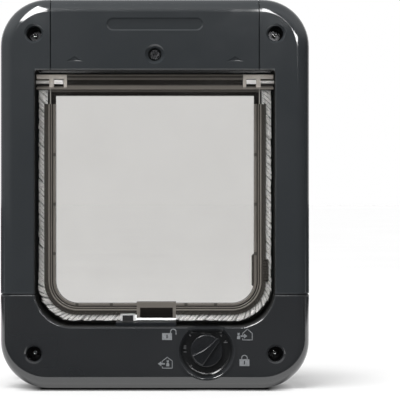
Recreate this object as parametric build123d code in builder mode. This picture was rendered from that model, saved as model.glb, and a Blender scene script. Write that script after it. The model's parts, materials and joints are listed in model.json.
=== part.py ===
"""Cat flap with a four-way lock dial: two door frames, a lined tunnel and a clear flap with a brush edge.

Frame: Z = 0 is the surface it stands on, X runs to the right and the room side faces -Y.
Every depth is a distance forward, towards the room, from the middle of the whole depth.
"""

import os
from math import cos, hypot, pi, radians, sin

from build123d import *

# Room-side frame
frame_width = 208.0
frame_height = 262.0
frame_depth = 28.0
corner_radius = 32.0
edge_radius = 9.0
wall = 2.5
rib = 2.0
seam = 0.6  # gap between the covers and the frame
seam_edge = 0.7  # rounding of the covers' edges along the seams
slip = 0.2  # gap between pieces that are pushed together once
running = 0.05  # radial clearance of a pin that turns
swing_gap = 1.5  # between the brush tips and the sides of the passage

# Door and outer frame
door_gap = 40.0
outer_depth = 14.0
outer_edge_radius = 6.0
collar_reach = 20.0
liner_wall = 2.0
liner_overlap = 2.5

# Passage through the frames
side_rail = 23.3  # width of the frame beside the passage
sill = 41.6  # height of the frame below the passage
top_rail = 47.8  # height of the frame above the passage
opening_corner = 25.0
opening_top_corner = 2.5
lip_radius = 1.2

# Long screws through both frames
fixing_clear = 3.3  # between a screw's tube and the top cover
fixing_inset_z = 23.5  # from the frame's top or bottom to the middle of a screw
fixing_tube_radius = 7.8
head_bore_radius = 5.1
mouth_chamfer = 1.4
screw_radius = 2.0
screw_hole_clearance = 0.3
screw_head_radius = 4.0
screw_head_height = 3.0
screw_bite = 8.0  # length held by the outer frame
cross_width = 1.0
cross_depth = 1.2

# Top cover
cover_lip_depth = 6.0
plate_length = 65.0
plate_height = 8.8
plate_below_top = 17.2
plate_depth = 0.9
recess_slope = 50.0  # of the sides of the plate's and the arrows' recesses
arrow_width = 11.5
arrow_height = 3.4
arrow_offset = 53.8
arrow_above_opening = 5.6
arrow_depth = 0.6
cover_screw_above_opening = 10.4
cover_bore_radius = 4.5
cover_bore_depth = 8.0
cover_bore_chamfer = 2.2
cover_boss_radius = 6.8
cover_screw_radius = 1.25
cover_screw_length = 10.0
cover_head_radius = 3.2
cover_head_height = 2.2

# Bottom cover and dial
seam_above_sill = 22.0
dial_x = 34.7
dial_below_sill = 16.0
dish_radius = 19.8
dish_rim = 1.2
dish_proud = 0.4
dish_depth = 3.4
dish_slope = 38.0
dish_round = 2.5  # between the dish's floor and its slope
dish_edge = 0.4
dial_radius = 10.8
dial_disc = 2.2
dial_edge = 0.55
dial_gap = 0.3
grip_proud = 5.0
grip_tail = 8.6
grip_tail_width = 10.0
grip_tip = 10.2
grip_tip_radius = 1.4
grip_hollow = 1.3  # sag of the grip's upper side between its tail and its tip
grip_round = 0.6
grip_fall = 18.0  # slope of the grip's face, away from its upper side
grip_angle = 45.0
spindle_radius = 4.0
cam_radius = 9.0
cam_thickness = 3.2
cam_notch_radius = 1.2
dial_screw_radius = 1.25
dial_screw_length = 7.0
dial_head_radius = 4.9
dial_head_height = 1.8

# Flap
flap_ahead = 12.0  # from the door to the middle of the flap
flap_bottom_gap = 3.3
tip_corner = 27.0
brush_reach = 4.2
brush_root = 2.4
brush_thickness = 4.0
brush_top_gap = 0.4
bezel_width = 7.8
bezel_half = 4.0
ridge_height = 0.8
ridge_insets = (2.8, 4.5, 6.1)  # from the bezel's outer edge to each ridge
ridge_widths = (1.1, 0.8, 1.7)
ridge_round = 0.3
bezel_below_hinge = 15.0
panel_inset = 8.2  # from the brush tips to the window's edge
panel_thickness = 3.0
clip_mark = 2.0
clip_mark_depth = 0.6
clip_mark_rise = 45.6  # from the flap's lower edge to the lowest side mark
clip_mark_pitch = 33.5
clip_mark_offsets = (-52.8, -29.5, 21.0, 41.1)
side_tab_rise = 34.1  # from the flap's lower edge to the middle of the tab
side_tab_length = 26.0
side_tab_reach = 1.5
grip_strip_length = 15.0
grip_strip_reach = 1.7
grip_groove = 0.6
grip_groove_count = 8

# Hinge
rail_roof_gap = 1.7  # between the rail and the top of the passage
rail_above = 5.7
rail_below = 5.3
rail_half = 5.0
rail_round = 3.0
rail_low_round = 0.7
rail_end_gap = 0.5
rail_channel = 3.8
rail_channel_drop = 0.7  # from the hinge axis to the middle of the channel
rail_channel_depth = 1.6
rail_groove = 0.9
rail_groove_depth = 0.7
skirt_drop = 4.0
panel_bite = 1.35  # how far the panel reaches up into the rail
skirt_half = 2.8
leg_drop = 9.6
end_pocket_length = 20.6
end_pocket_floor = 2.0
bracket_plate = 2.9
bracket_setback = 1.6
bracket_top_gap = 0.8
bracket_leg = 2.2
bracket_lug = 3.0
bracket_lug_inset = 8.6
pin_radius = 1.25
pin_bite = 3.4  # length inside the frame
thumb_length = 6.4
thumb_height = 2.8
thumb_reach = 3.6
bearing_radius = 4.0
bearing_length = 3.4

# Closing magnet, strike and catches
magnet_x = 1.0
bump_width = 26.6
bump_rise = 0.9
pocket_side = 2.0
magnet_height = 6.0
magnet_depth = 5.0
strike_gap = 1.0  # between the strike and the magnet's pocket
strike_width = 10.2
strike_height = 5.1
strike_band = 1.4
strike_depth = 4.0
block_depth = 7.0
plinth_margin = 1.9
plinth_gap = 0.8  # between the plinth and the flap's lower edge
plinth_behind = 9.0  # from the middle of the flap to the plinth's back
plinth_ahead = 10.0  # from the middle of the flap to the plinth's front
sill_magnet_length = 20.0
sill_magnet_depth = 6.0
sill_magnet_height = 1.6
catch_width = 6.0
catch_thickness = 3.0
catch_gap = 0.4
catch_clearance = 0.25
catch_length = 30.0
catch_foot_height = 2.0
catch_well_margin = 2.0
guide_width = 12.0
guide_drop = 12.0
spring_wire = 0.5
spring_room = 0.1  # between a spring and the corners of its catch
spring_turns = 4
spring_bends = 14  # straight runs of wire in one turn

# Cells behind the top cover, and the board behind the bottom cover
cell_radius = 7.1
cell_length = 49.5
cell_nub_radius = 2.6
cell_nub_length = 1.0
cell_row_gap = 15.2
cell_row_base = 12.4  # from the top of the passage to the lower row
tray_wall = 1.2
tray_depth = 9.0
tray_gap = 18.7  # between the two bays
tray_room = 3.05  # between a bay and the side of the top cover
cell_room = 1.9  # between the cells and the front of the top cover
contact_thickness = 0.5
contact_width = 9.0
board_width = 40.0
board_height = 24.0
board_thickness = 1.6
board_x = -50.0
board_bottom = 9.0
board_stand = 4.0
post_radius = 2.5

# Levels along the depth
total_depth = grip_proud + frame_depth + door_gap + outer_depth
front = total_depth / 2 - grip_proud
door_face = front - frame_depth
outer_face = door_face - door_gap
rear = outer_face - outer_depth
cover_depth = wall + cell_room + 2 * cell_radius + slip + tray_wall
joint_depth = frame_depth - cover_depth
joint_face = door_face + joint_depth
flap_plane = door_face + flap_ahead
dish_face = front + dish_proud
dish_floor = dish_face - dish_depth

# Heights and widths worked out from the sizes above
opening_width = frame_width - 2 * side_rail
opening_bottom = sill
opening_top = frame_height - top_rail
bottom_seam_height = opening_bottom + seam_above_sill
dial_height = opening_bottom - dial_below_sill
tip_half = opening_width / 2 - swing_gap
flap_bottom = opening_bottom + flap_bottom_gap
rail_top = opening_top - rail_roof_gap
hinge_height = rail_top - rail_above
rail_bottom = hinge_height - rail_below
rail_end = opening_width / 2 - rail_end_gap
bezel_top = hinge_height - bezel_below_hinge
bezel_half_width = tip_half - brush_reach
window_half = bezel_half_width - bezel_width
window_bottom = flap_bottom + brush_reach + bezel_width
root_half = tip_half - brush_reach - brush_root
pocket_end = rail_end - end_pocket_length
strike_top = flap_bottom + strike_band
bump_left = magnet_x - bump_width / 2
bump_right = magnet_x + bump_width / 2
strike_x = bump_left - strike_gap - strike_width / 2
side_tab_height = flap_bottom + side_tab_rise
bay_length = cell_length + 2 * (cell_nub_length + contact_thickness + slip)
cell_offset_x = tray_gap / 2 + tray_wall + bay_length / 2
top_cover_width = 2 * (cell_offset_x + bay_length / 2 + tray_wall + tray_room + rib) + seam
fixing_x = top_cover_width / 2 + fixing_clear + fixing_tube_radius
fixing_points = [
    (x, z)
    for x in (-fixing_x, fixing_x)
    for z in (fixing_inset_z, frame_height - fixing_inset_z)
]
cover_screw_height = opening_top + cover_screw_above_opening
in_catch_rear = flap_plane + bezel_half + catch_gap
out_catch_rear = flap_plane - bezel_half - catch_gap - catch_thickness
guide_left = strike_x - guide_width / 2
guide_right = strike_x + guide_width / 2
guide_bottom = opening_bottom - guide_drop
plinth_top = flap_bottom - plinth_gap
plinth_left = guide_left - plinth_margin
plinth_right = bump_right
spring_radius = hypot(catch_width, catch_thickness) / 2 + spring_wire + spring_room
catch_foot_width = 2 * (spring_radius + spring_wire)

os.makedirs("parts", exist_ok=True)


def facing(forward):
    """Upright plane that looks at the room, this far forward: its own axes are X and Z."""
    return Plane.XZ.offset(forward)


def across(x):
    """Upright plane that looks to the right at this X: its own axes are Y and Z."""
    return Plane.YZ.offset(x)


def block(x, z, forward):
    """Box between two values of X, of Z and of forward depth."""
    with BuildPart(mode=Mode.PRIVATE) as body:
        with BuildSketch(facing(forward[0])):
            with Locations(((x[0] + x[1]) / 2, (z[0] + z[1]) / 2)):
                Rectangle(x[1] - x[0], z[1] - z[0])
        extrude(amount=forward[1] - forward[0])
    return body.part


def passage_outline(grow):
    """The passage seen from the room, grown outwards: round lower corners and nearly square upper ones."""
    with BuildSketch(Plane.XY, mode=Mode.PRIVATE) as outline:
        with Locations((0, (opening_bottom + opening_top) / 2)):
            Rectangle(opening_width + 2 * grow, opening_top - opening_bottom + 2 * grow)
        fillet(outline.vertices().group_by(Axis.Y)[0], opening_corner + grow)
        fillet(outline.vertices().group_by(Axis.Y)[-1], opening_top_corner + grow)
    return outline.sketch


def flap_outline(inset, top):
    """The flap's outline at the brush tips, moved inwards, cut off level at the given height."""
    with BuildSketch(Plane.XY, mode=Mode.PRIVATE) as outline:
        with Locations((0, (flap_bottom + inset + top) / 2)):
            Rectangle(2 * (tip_half - inset), top - flap_bottom - inset)
        fillet(outline.vertices().group_by(Axis.Y)[0], tip_corner - inset)
    return outline.sketch


def flap_band(outer_inset, inner_inset, top, back, thickness, edge=0):
    """U-shaped band between two insets of the flap's outline, with its front edges rounded if asked."""
    with BuildPart(mode=Mode.PRIVATE) as band:
        with BuildSketch(facing(back)):
            add(flap_outline(outer_inset, top))
            add(flap_outline(inner_inset, top + wall), mode=Mode.SUBTRACT)
        extrude(amount=thickness)
        if edge:
            fillet(band.faces().sort_by(Axis.Y)[0].edges(), edge)
    return band.part


def frame_block(inset, start, depth, edge):
    """Rounded frame outline, moved inwards and extruded from a level, with its far edge rounded."""
    with BuildPart(mode=Mode.PRIVATE) as body:
        with BuildSketch(facing(start)):
            with Locations((0, frame_height / 2)):
                RectangleRounded(frame_width - 2 * inset, frame_height - 2 * inset, corner_radius - inset)
        extrude(amount=depth)
        far_face = body.faces().sort_by(Axis.Y)[0 if depth > 0 else -1]
        fillet(far_face.edges(), edge)
    return body.part


def room_shell():
    """The room-side housing as one open-backed shell, before it is parted into frame and covers."""
    with BuildPart(mode=Mode.PRIVATE) as shell:
        add(frame_block(0, door_face, frame_depth, edge_radius))
        add(frame_block(wall, door_face, frame_depth - wall, edge_radius - wall), mode=Mode.SUBTRACT)
        with BuildSketch(facing(door_face)):
            add(passage_outline(wall))
        extrude(amount=frame_depth)
        with BuildSketch(facing(door_face)):
            add(passage_outline(0))
        extrude(amount=frame_depth, mode=Mode.SUBTRACT)
        fillet(shell.faces().sort_by(Axis.Y)[0].inner_wires().edges(), lip_radius)
        with BuildSketch(facing(door_face)):
            with Locations(*fixing_points):
                Circle(fixing_tube_radius)
        extrude(amount=frame_depth - wall / 2)
    return shell.part


def fixing_bores():
    """Stepped holes of the long screws: wide bores with flared mouths, and the shanks' holes behind."""
    with BuildPart(mode=Mode.PRIVATE) as bores:
        with BuildSketch(facing(front)):
            with Locations(*fixing_points):
                Circle(head_bore_radius + mouth_chamfer)
        extrude(amount=-mouth_chamfer, taper=45)
        with BuildSketch(facing(front)):
            with Locations(*fixing_points):
                Circle(head_bore_radius)
        extrude(amount=-(frame_depth - joint_depth))
        with BuildSketch(facing(door_face)):
            with Locations(*fixing_points):
                Circle(screw_radius + screw_hole_clearance)
        extrude(amount=joint_depth)
    return bores.part


def inside_shell(part):
    """The part of a block that lies inside the room-side housing."""
    with BuildPart(mode=Mode.PRIVATE) as trimmed:
        add(part)
        add(
            frame_block(wall / 2, door_face, frame_depth - wall / 2, edge_radius - wall / 2),
            mode=Mode.INTERSECT,
        )
    return trimmed.part


def top_zone(grow):
    """Space of the top cover: the whole top rail, and the lip over the front of the passage's roof."""
    half = top_cover_width / 2 + grow
    above = frame_height + wall
    with BuildPart(mode=Mode.PRIVATE) as zone:
        add(block((-half, half), (opening_top + wall, above), (joint_face, front + wall)))
        add(block((-half, half), (opening_top - wall, above), (front - cover_lip_depth - grow, front + wall)))
    return zone.part


def bottom_zone(grow):
    """Space of the bottom cover: everything below the side seams, in front of the joint face."""
    return block((-frame_width, frame_width), (-wall, bottom_seam_height + grow), (joint_face, front + wall))


def catch_well():
    """Free space under the catch guide, where the catches and their springs move."""
    return block(
        (guide_left, guide_right),
        (plinth_top - catch_length - catch_well_margin, guide_bottom),
        (door_face, flap_plane + plinth_ahead),
    )


def guide_space(grow):
    """Space of the catch guide where it passes down through the sill."""
    return block(
        (guide_left - grow, guide_right + grow),
        (guide_bottom, opening_bottom),
        (flap_plane - plinth_behind - grow, flap_plane + plinth_ahead + grow),
    )


with BuildPart() as inner_frame:
    add(room_shell())
    add(top_zone(seam / 2), mode=Mode.SUBTRACT)
    add(bottom_zone(seam / 2), mode=Mode.SUBTRACT)
    # back plates behind the two covers
    with BuildSketch(facing(joint_face - wall)):
        with Locations((0, frame_height / 2)):
            RectangleRounded(frame_width - wall, frame_height - wall, corner_radius - wall / 2)
        add(passage_outline(wall / 2), mode=Mode.SUBTRACT)
        with Locations((0, (bottom_seam_height + opening_top) / 2)):
            Rectangle(frame_width, opening_top - bottom_seam_height, mode=Mode.SUBTRACT)
    extrude(amount=wall)
    # walls that close the side members beside the covers
    for side in (-1, 1):
        near = side * (top_cover_width / 2 + seam / 2)
        add(
            inside_shell(
                block(
                    sorted((near, near + side * rib)),
                    (opening_top + wall / 2, frame_height),
                    (joint_face - wall / 2, front),
                )
            )
        )
        member = sorted((side * (opening_width / 2 + wall / 2), side * frame_width / 2))
        step = bottom_seam_height + seam / 2
        add(inside_shell(block(member, (step, step + rib), (joint_face - wall / 2, front))))
    # bearings for the hinge pins
    with BuildSketch(across(opening_width / 2 + wall / 2)):
        with Locations((-flap_plane, hinge_height)):
            Circle(bearing_radius)
    extrude(amount=bearing_length)
    with BuildSketch(across(-opening_width / 2 - wall / 2)):
        with Locations((-flap_plane, hinge_height)):
            Circle(bearing_radius)
    extrude(amount=-bearing_length)
    with BuildSketch(across(-frame_width / 2 + 2 * wall)):
        with Locations((-flap_plane, hinge_height)):
            Circle(pin_radius + running)
    extrude(amount=frame_width - 4 * wall, mode=Mode.SUBTRACT)
    # boss for the top cover's screw
    with BuildSketch(facing(joint_face - wall / 2)):
        with Locations((0, cover_screw_height)):
            Circle(cover_bore_radius)
    extrude(amount=front - cover_bore_depth - wall - slip - joint_face + wall / 2)
    with BuildSketch(facing(front)):
        with Locations((0, cover_screw_height)):
            Circle(cover_screw_radius + running)
    extrude(amount=-(frame_depth - joint_depth), mode=Mode.SUBTRACT)
    # posts for the control board
    with BuildSketch(facing(joint_face - wall / 2)):
        with Locations((board_x, board_bottom + board_height / 2)):
            with GridLocations(board_width - 4 * post_radius, board_height - 4 * post_radius, 2, 2):
                Circle(post_radius)
    extrude(amount=board_stand + wall / 2)
    add(guide_space(slip), mode=Mode.SUBTRACT)
    add(catch_well(), mode=Mode.SUBTRACT)
    add(fixing_bores(), mode=Mode.SUBTRACT)

with BuildPart() as top_cover:
    add(room_shell())
    add(top_zone(-seam / 2), mode=Mode.INTERSECT)
    for side in (-1, 1):
        edge = side * (top_cover_width / 2 - seam / 2)
        ends = sorted((edge, edge - side * rib))
        add(inside_shell(block(ends, (opening_top + wall, frame_height), (joint_face + rib, front))))
    with BuildSketch(facing(front - wall / 2)):
        with Locations((0, cover_screw_height)):
            Circle(cover_boss_radius)
    extrude(amount=-cover_bore_depth - wall / 2)
    with BuildSketch(facing(front)):
        with Locations((0, cover_screw_height)):
            Circle(cover_bore_radius)
    extrude(amount=-cover_bore_depth, mode=Mode.SUBTRACT)
    bore_mouth = top_cover.faces().sort_by(Axis.Y)[0].inner_wires().edges()
    chamfer(bore_mouth, cover_bore_chamfer)
    with BuildSketch(facing(front)):
        with Locations((0, cover_screw_height)):
            Circle(cover_screw_radius + screw_hole_clearance)
    extrude(amount=-(frame_depth - joint_depth), mode=Mode.SUBTRACT)
    with BuildSketch(facing(front)):
        with Locations((0, frame_height - plate_below_top)):
            SlotOverall(plate_length, plate_height)
    extrude(amount=-plate_depth, taper=recess_slope, mode=Mode.SUBTRACT)
    with BuildSketch(facing(front)):
        for side in (-1, 1):
            with Locations((side * arrow_offset, opening_top + arrow_above_opening)):
                Polygon((-arrow_width / 2, 0), (arrow_width / 2, 0), (0, arrow_height), align=None)
    extrude(amount=-arrow_depth, taper=recess_slope, mode=Mode.SUBTRACT)

with BuildPart() as top_cover_screw:
    seat = front - cover_bore_depth
    with BuildSketch(facing(seat)):
        with Locations((0, cover_screw_height)):
            Circle(cover_head_radius)
    extrude(amount=cover_head_height)
    with BuildSketch(facing(seat + cover_head_height)):
        with Locations((0, cover_screw_height)):
            Rectangle(cover_head_radius, cross_width)
            Rectangle(cross_width, cover_head_radius)
    extrude(amount=-cross_depth, mode=Mode.SUBTRACT)
    with BuildSketch(facing(seat)):
        with Locations((0, cover_screw_height)):
            Circle(cover_screw_radius)
    extrude(amount=-cover_screw_length)

with BuildPart() as bottom_cover:
    add(room_shell())
    add(bottom_zone(-seam / 2), mode=Mode.INTERSECT)
    for side in (-1, 1):
        member = sorted((side * (opening_width / 2 + wall / 2), side * frame_width / 2))
        step = bottom_seam_height - seam / 2
        add(inside_shell(block(member, (step - rib, step), (joint_face + rib, front))))
    # round boss of the dial, cut off level with the passage
    with BuildSketch(facing(dish_face)):
        with Locations((dial_x, dial_height)):
            Circle(dish_radius)
        add(passage_outline(0), mode=Mode.SUBTRACT)
    extrude(amount=-(dish_depth + wall + cam_thickness))
    with BuildSketch(facing(dish_face)):
        with Locations((dial_x, dial_height)):
            Circle(dish_radius - dish_rim)
        add(passage_outline(dish_rim), mode=Mode.SUBTRACT)
    extrude(amount=-dish_depth, taper=dish_slope, mode=Mode.SUBTRACT)
    floor_edges = bottom_cover.edges().filter_by_position(Axis.Y, -dish_floor - running, running - dish_floor)
    fillet(floor_edges, dish_round)
    fillet(bottom_cover.faces().sort_by(Axis.Y)[0].inner_wires().edges(), dish_edge)
    with BuildSketch(facing(dish_floor - wall)):
        with Locations((dial_x, dial_height)):
            Circle(dish_radius - wall)
        add(passage_outline(wall), mode=Mode.SUBTRACT)
    extrude(amount=-frame_depth, mode=Mode.SUBTRACT)
    with BuildSketch(facing(dish_floor)):
        with Locations((dial_x, dial_height)):
            Circle(spindle_radius + running)
    extrude(amount=-wall, mode=Mode.SUBTRACT)
    add(guide_space(slip), mode=Mode.SUBTRACT)
    add(fixing_bores(), mode=Mode.SUBTRACT)
    seam_edges = bottom_cover.faces().filter_by(Axis.Z).group_by(Axis.Z)[-1].edges()
    front_band = edge_radius - front
    side_face = frame_width / 2 - slip
    fillet(
        seam_edges.filter_by(lambda edge: edge.center().Y < front_band or abs(edge.center().X) > side_face),
        seam_edge,
    )

with BuildPart() as tunnel_liner:
    with BuildSketch(facing(outer_face)):
        add(passage_outline(wall + slip + liner_wall))
        add(passage_outline(wall + slip), mode=Mode.SUBTRACT)
    extrude(amount=door_gap + liner_overlap)

with BuildPart() as outer_frame:
    add(frame_block(0, outer_face, -outer_depth, outer_edge_radius))
    add(
        frame_block(wall, outer_face, -(outer_depth - wall), outer_edge_radius - wall),
        mode=Mode.SUBTRACT,
    )
    with BuildSketch(facing(rear)):
        add(passage_outline(wall))
    extrude(amount=outer_depth + collar_reach)
    with BuildSketch(facing(rear)):
        add(passage_outline(0))
    extrude(amount=outer_depth + collar_reach, mode=Mode.SUBTRACT)
    fillet(outer_frame.faces().sort_by(Axis.Y)[-1].inner_wires().edges(), lip_radius)
    with BuildSketch(facing(rear + wall / 2)):
        with Locations(*fixing_points):
            Circle(fixing_tube_radius)
    extrude(amount=outer_depth - wall / 2)
    with BuildSketch(facing(outer_face)):
        with Locations(*fixing_points):
            Circle(screw_radius + running)
    extrude(amount=-(screw_bite + slip), mode=Mode.SUBTRACT)
    # seat for the end of the tunnel lining
    with BuildSketch(facing(outer_face - wall)):
        add(passage_outline(wall + slip + liner_wall))
        add(passage_outline(wall / 2), mode=Mode.SUBTRACT)
    extrude(amount=wall)

with BuildPart() as fixing_screws:
    with BuildSketch(facing(joint_face)):
        with Locations(*fixing_points):
            Circle(screw_head_radius)
    extrude(amount=screw_head_height)
    with BuildSketch(facing(joint_face + screw_head_height)):
        with Locations(*fixing_points):
            Rectangle(screw_head_radius, cross_width)
            Rectangle(cross_width, screw_head_radius)
    extrude(amount=-cross_depth, mode=Mode.SUBTRACT)
    with BuildSketch(facing(joint_face)):
        with Locations(*fixing_points):
            Circle(screw_radius)
    extrude(amount=-(joint_depth + door_gap + screw_bite))

with BuildPart() as catch_guide:
    add(
        block(
            (plinth_left, plinth_right),
            (opening_bottom, plinth_top),
            (flap_plane - plinth_behind, flap_plane + plinth_ahead),
        )
    )
    add(guide_space(0))
    for catch_rear in (in_catch_rear, out_catch_rear):
        add(
            block(
                (strike_x - catch_width / 2 - catch_clearance, strike_x + catch_width / 2 + catch_clearance),
                (guide_bottom, plinth_top),
                (catch_rear - catch_clearance, catch_rear + catch_thickness + catch_clearance),
            ),
            mode=Mode.SUBTRACT,
        )
    add(
        block(
            (magnet_x - sill_magnet_length / 2 - slip, magnet_x + sill_magnet_length / 2 + slip),
            (opening_bottom, opening_bottom + sill_magnet_height + slip),
            (flap_plane - sill_magnet_depth / 2 - slip, flap_plane + sill_magnet_depth / 2 + slip),
        ),
        mode=Mode.SUBTRACT,
    )

with BuildPart() as sill_magnet:
    add(
        block(
            (magnet_x - sill_magnet_length / 2, magnet_x + sill_magnet_length / 2),
            (opening_bottom, opening_bottom + sill_magnet_height),
            (flap_plane - sill_magnet_depth / 2, flap_plane + sill_magnet_depth / 2),
        )
    )

with BuildPart() as flap_panel:
    with BuildSketch(facing(flap_plane - panel_thickness / 2)):
        add(flap_outline(panel_inset, rail_bottom + panel_bite))
    extrude(amount=panel_thickness)

with BuildPart() as flap_bezel:
    bezel_back = flap_plane - bezel_half
    bezel_body = 2 * bezel_half - ridge_height
    add(flap_band(brush_reach, brush_reach + bezel_width, bezel_top, bezel_back, bezel_body))
    for inset, width in zip(ridge_insets, ridge_widths):
        outer = brush_reach + inset
        add(flap_band(outer, outer + width, bezel_top, bezel_back + bezel_body, ridge_height, ridge_round))
    # pocket for the closing magnet
    add(
        block(
            (bump_left, bump_right),
            (strike_top, window_bottom + bump_rise),
            (bezel_back, flap_plane + bezel_half),
        )
    )
    # side tab with its ribbed finger strip
    with BuildSketch(facing(bezel_back)):
        with Locations((window_half, side_tab_height)):
            Trapezoid(side_tab_length, 2 * side_tab_reach, 45, rotation=90)
        with Locations((bezel_half_width, side_tab_height)):
            Rectangle(2 * grip_strip_reach, grip_strip_length)
    extrude(amount=bezel_body)
    # slot for the window and slot for the brush
    with BuildSketch(facing(flap_plane - panel_thickness / 2)):
        add(flap_outline(panel_inset, bezel_top + wall))
    extrude(amount=panel_thickness, mode=Mode.SUBTRACT)
    add(
        flap_band(
            brush_reach - grip_strip_reach,
            brush_reach + brush_root,
            bezel_top + wall,
            flap_plane - brush_thickness / 2,
            brush_thickness,
        ),
        mode=Mode.SUBTRACT,
    )
    # magnet pocket, and the cut for the strike plate
    add(
        block(
            (bump_left + pocket_side, bump_right - pocket_side),
            (strike_top, strike_top + magnet_height),
            (flap_plane - magnet_depth / 2, flap_plane + magnet_depth / 2),
        ),
        mode=Mode.SUBTRACT,
    )
    add(
        block(
            (strike_x - strike_width / 2, strike_x + strike_width / 2),
            (flap_bottom, flap_bottom + strike_height),
            (bezel_back, flap_plane + bezel_half),
        ),
        mode=Mode.SUBTRACT,
    )
    # small marks of the clips along the inner ridge
    mark_inset = brush_reach + ridge_insets[2] + ridge_widths[2] / 2
    with BuildSketch(facing(flap_plane + bezel_half)):
        with Locations((0, flap_bottom + clip_mark_rise + clip_mark_pitch)):
            with GridLocations(2 * (tip_half - mark_inset), clip_mark_pitch, 2, 3):
                Rectangle(ridge_widths[2], clip_mark)
        for offset_x in clip_mark_offsets:
            with Locations((offset_x, flap_bottom + mark_inset)):
                Rectangle(clip_mark, ridge_widths[2])
    extrude(amount=-clip_mark_depth, mode=Mode.SUBTRACT)
    with BuildSketch(facing(flap_plane + bezel_half - ridge_height)):
        with Locations((bezel_half_width, side_tab_height)):
            with GridLocations(0, grip_strip_length / grip_groove_count, 1, grip_groove_count):
                Rectangle(2 * grip_strip_reach, grip_groove)
    extrude(amount=-grip_groove, mode=Mode.SUBTRACT)

with BuildPart() as hinge_rail:
    with BuildSketch(across(-rail_end)) as rail_section:
        with Locations((-flap_plane, (rail_top + rail_bottom) / 2)):
            Rectangle(2 * rail_half, rail_top - rail_bottom)
        fillet(rail_section.vertices().group_by(Axis.Y)[-1], rail_round)
        fillet(rail_section.vertices().group_by(Axis.Y)[0], rail_low_round)
    extrude(amount=2 * rail_end)
    # skirt and legs that hold the window's upper edge
    add(
        block(
            (-window_half, window_half),
            (rail_bottom - skirt_drop, rail_bottom + rail_round),
            (flap_plane - skirt_half, flap_plane + skirt_half),
        )
    )
    for side in (-1, 1):
        leg = sorted((side * window_half, side * (root_half - slip)))
        add(
            block(
                leg,
                (rail_bottom - leg_drop, rail_bottom + rail_round),
                (flap_plane - skirt_half, flap_plane + skirt_half),
            )
        )
    with BuildSketch(facing(flap_plane - panel_thickness / 2)):
        add(flap_outline(panel_inset, rail_bottom + panel_bite))
    extrude(amount=panel_thickness, mode=Mode.SUBTRACT)
    # long channel with a sloping lower side, and a groove above it
    channel_low = hinge_height - rail_channel_drop - rail_channel / 2
    channel_top = channel_low + rail_channel
    rail_face = -flap_plane - rail_half
    channel_floor = rail_face + rail_channel_depth
    with BuildSketch(across(-pocket_end)):
        Polygon(
            (rail_face, rail_bottom + rail_low_round),
            (channel_floor, channel_low),
            (channel_floor, channel_top),
            (rail_face, channel_top),
            align=None,
        )
    extrude(amount=2 * pocket_end, mode=Mode.SUBTRACT)
    groove_height = channel_top + rail_groove
    add(
        block(
            (-pocket_end, pocket_end),
            (groove_height, groove_height + rail_groove),
            (flap_plane + rail_half - rail_groove_depth, flap_plane + rail_half),
        ),
        mode=Mode.SUBTRACT,
    )
    # pockets for the end brackets and the pins
    for side in (-1, 1):
        add(
            block(
                sorted((side * pocket_end, side * opening_width / 2)),
                (rail_bottom + rail_round / 2, rail_top),
                (flap_plane - end_pocket_floor, flap_plane + rail_half),
            ),
            mode=Mode.SUBTRACT,
        )

with BuildPart() as hinge_bracket_right:
    bracket_floor = flap_plane - end_pocket_floor
    bracket_front = flap_plane + rail_half - bracket_setback
    bracket_low = rail_bottom + rail_round / 2
    bracket_top = rail_top - bracket_top_gap
    lug_right = rail_end - bracket_lug_inset
    add(
        block(
            (pocket_end, rail_end),
            (bracket_top - bracket_plate, bracket_top),
            (bracket_floor, bracket_front),
        )
    )
    add(
        block(
            (pocket_end, pocket_end + bracket_leg),
            (bracket_low, bracket_top),
            (bracket_floor, bracket_front),
        )
    )
    add(
        block(
            (lug_right - bracket_lug, lug_right),
            (bracket_low, bracket_top),
            (bracket_floor, bracket_front),
        )
    )
    with BuildSketch(across(lug_right - bracket_lug)):
        with Locations((-flap_plane, hinge_height)):
            Circle(pin_radius + running)
    extrude(amount=bracket_lug, mode=Mode.SUBTRACT)

with BuildPart() as hinge_bracket_left:
    mirror(hinge_bracket_right.part, about=Plane.YZ)

with BuildPart() as hinge_pin_right:
    thumb_right = lug_right - bracket_lug - slip
    with BuildSketch(across(thumb_right - thumb_length)):
        with Locations((-flap_plane, hinge_height)):
            Rectangle(2 * end_pocket_floor - slip, thumb_height)
    extrude(amount=thumb_length)
    add(
        block(
            (thumb_right - thumb_length, thumb_right),
            (hinge_height - thumb_height / 2, hinge_height + thumb_height / 2),
            (flap_plane, flap_plane + thumb_reach),
        )
    )
    with BuildSketch(across(thumb_right)):
        with Locations((-flap_plane, hinge_height)):
            Circle(pin_radius)
    extrude(amount=opening_width / 2 + pin_bite - thumb_right)

with BuildPart() as hinge_pin_left:
    mirror(hinge_pin_right.part, about=Plane.YZ)

brush_top = rail_bottom - brush_top_gap
brush_back = flap_plane - brush_thickness / 2

with BuildPart() as brush_left:
    add(flap_band(0, brush_reach + brush_root - slip / 2, brush_top, brush_back, brush_thickness))
    add(
        block(
            (-frame_width / 2, strike_x - strike_width / 2 - slip),
            (0, frame_height),
            (brush_back, brush_back + brush_thickness),
        ),
        mode=Mode.INTERSECT,
    )

with BuildPart() as brush_right:
    add(flap_band(0, brush_reach + brush_root - slip / 2, brush_top, brush_back, brush_thickness))
    add(
        block(
            (bump_right + slip, frame_width / 2),
            (0, frame_height),
            (brush_back, brush_back + brush_thickness),
        ),
        mode=Mode.INTERSECT,
    )

with BuildPart() as closer_magnet:
    add(
        block(
            (bump_left + pocket_side + slip, bump_right - pocket_side - slip),
            (strike_top, strike_top + magnet_height - slip),
            (flap_plane - magnet_depth / 2 + slip, flap_plane + magnet_depth / 2 - slip),
        )
    )

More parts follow.
